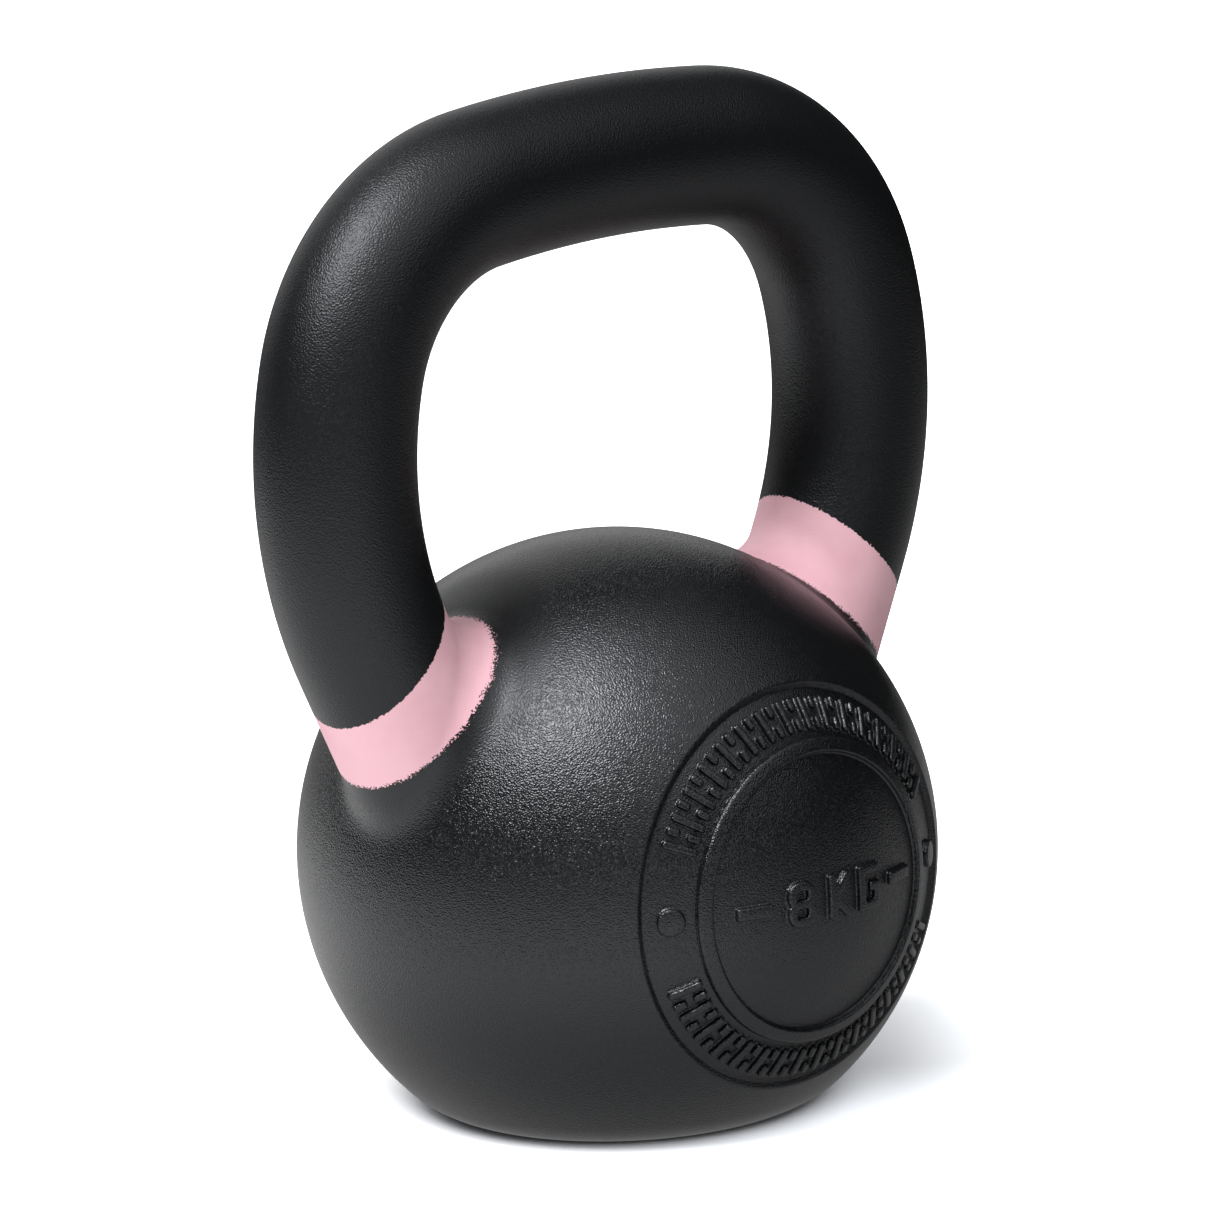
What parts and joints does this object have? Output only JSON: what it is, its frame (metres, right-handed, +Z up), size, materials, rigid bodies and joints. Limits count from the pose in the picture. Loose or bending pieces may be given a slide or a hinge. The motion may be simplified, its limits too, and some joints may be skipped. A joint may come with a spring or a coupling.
{
  "type": "kettlebell",
  "caption": "Cast iron kettlebell: a black-coated ball with a flat foot and round emblem, one rounded loop handle, pink bands at its roots.",
  "frame": {"origin": "on the floor, in the middle of the ground foot, straight below the ball's centre", "axes": "+Z up, the longest extent; X along the grip; the emblem faces -Y, and Y is the shortest extent"},
  "size_m": [0.1614, 0.122, 0.196],
  "materials": {
    "grey_iron": "ground flat, bare",
    "coarse_black_coat": "satin powder coat with a coarse pebbled grain",
    "fine_black_coat": "satin powder coat with a fine grain",
    "pink_paint": "satin brushed-on paint",
    "coated_relief": "cast in relief under the black powder coat"
  },
  "bodies": {
    "root": {"iron_casting": "grey_iron", "ball_coat": "coarse_black_coat", "handle_coat": "fine_black_coat", "left_colour_band": "pink_paint", "right_colour_band": "pink_paint", "emblem_ring": "coated_relief", "emblem_upper_marks": "coated_relief", "emblem_lower_marks": "coated_relief", "emblem_studs": "coated_relief", "weight_mark": "coated_relief"}
  },
  "joints": []
}
